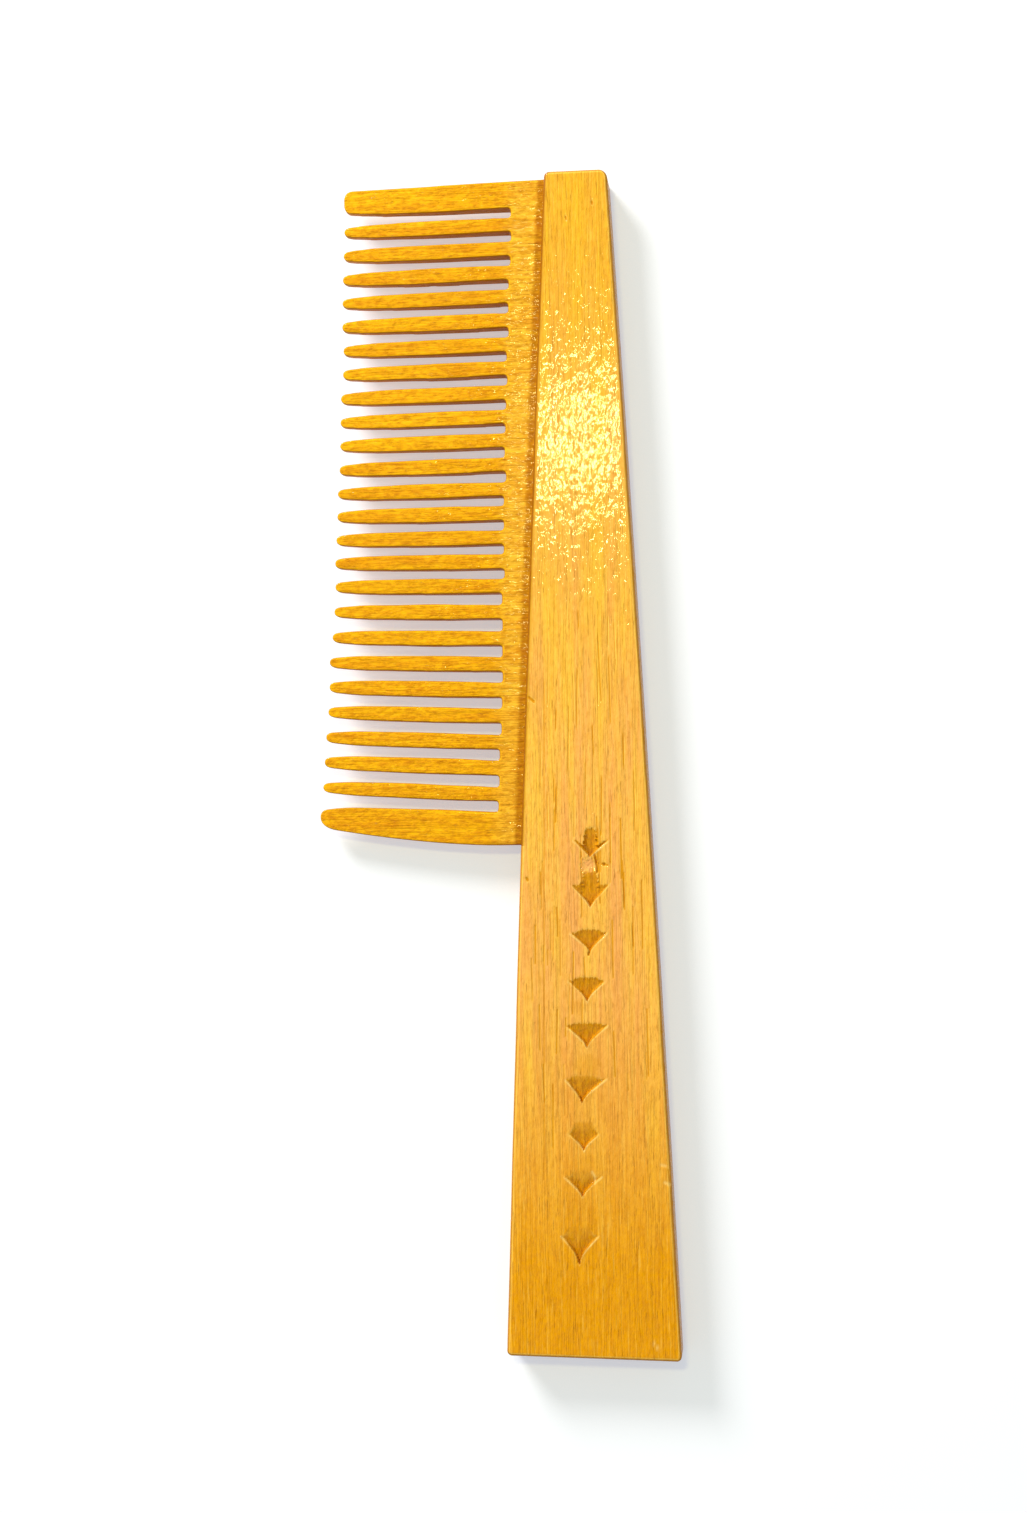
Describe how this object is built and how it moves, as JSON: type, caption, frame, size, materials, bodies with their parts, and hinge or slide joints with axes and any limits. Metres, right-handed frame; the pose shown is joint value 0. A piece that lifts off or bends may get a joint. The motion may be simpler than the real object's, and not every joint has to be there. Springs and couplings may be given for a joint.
{
  "type": "wide tooth comb",
  "caption": "Wooden hair comb: a long flat tapered handle bar with carved notches and a wide-toothed blade glued into a groove along its edge.",
  "frame": {"origin": "under the middle of the comb's footprint as it lies on its back, at the height of the back face", "axes": "+Y runs up the handle's centre line from the butt to the head end, +X points away from the teeth, which point to -X, and +Z is the thickness, out of the carved front face"},
  "size_m": [0.0688, 0.229, 0.009],
  "materials": {
    "handle_wood": "clear amber varnish, satin to gloss, grain along the handle",
    "blade_wood": "clear amber varnish, grain along the teeth",
    "dried_glue": "hardened wood glue, out of sight in the groove"
  },
  "bodies": {
    "root": {"handle": "handle_wood", "blade_head_board": "blade_wood", "blade_butt_board": "blade_wood", "glue_line": "dried_glue"}
  },
  "joints": []
}
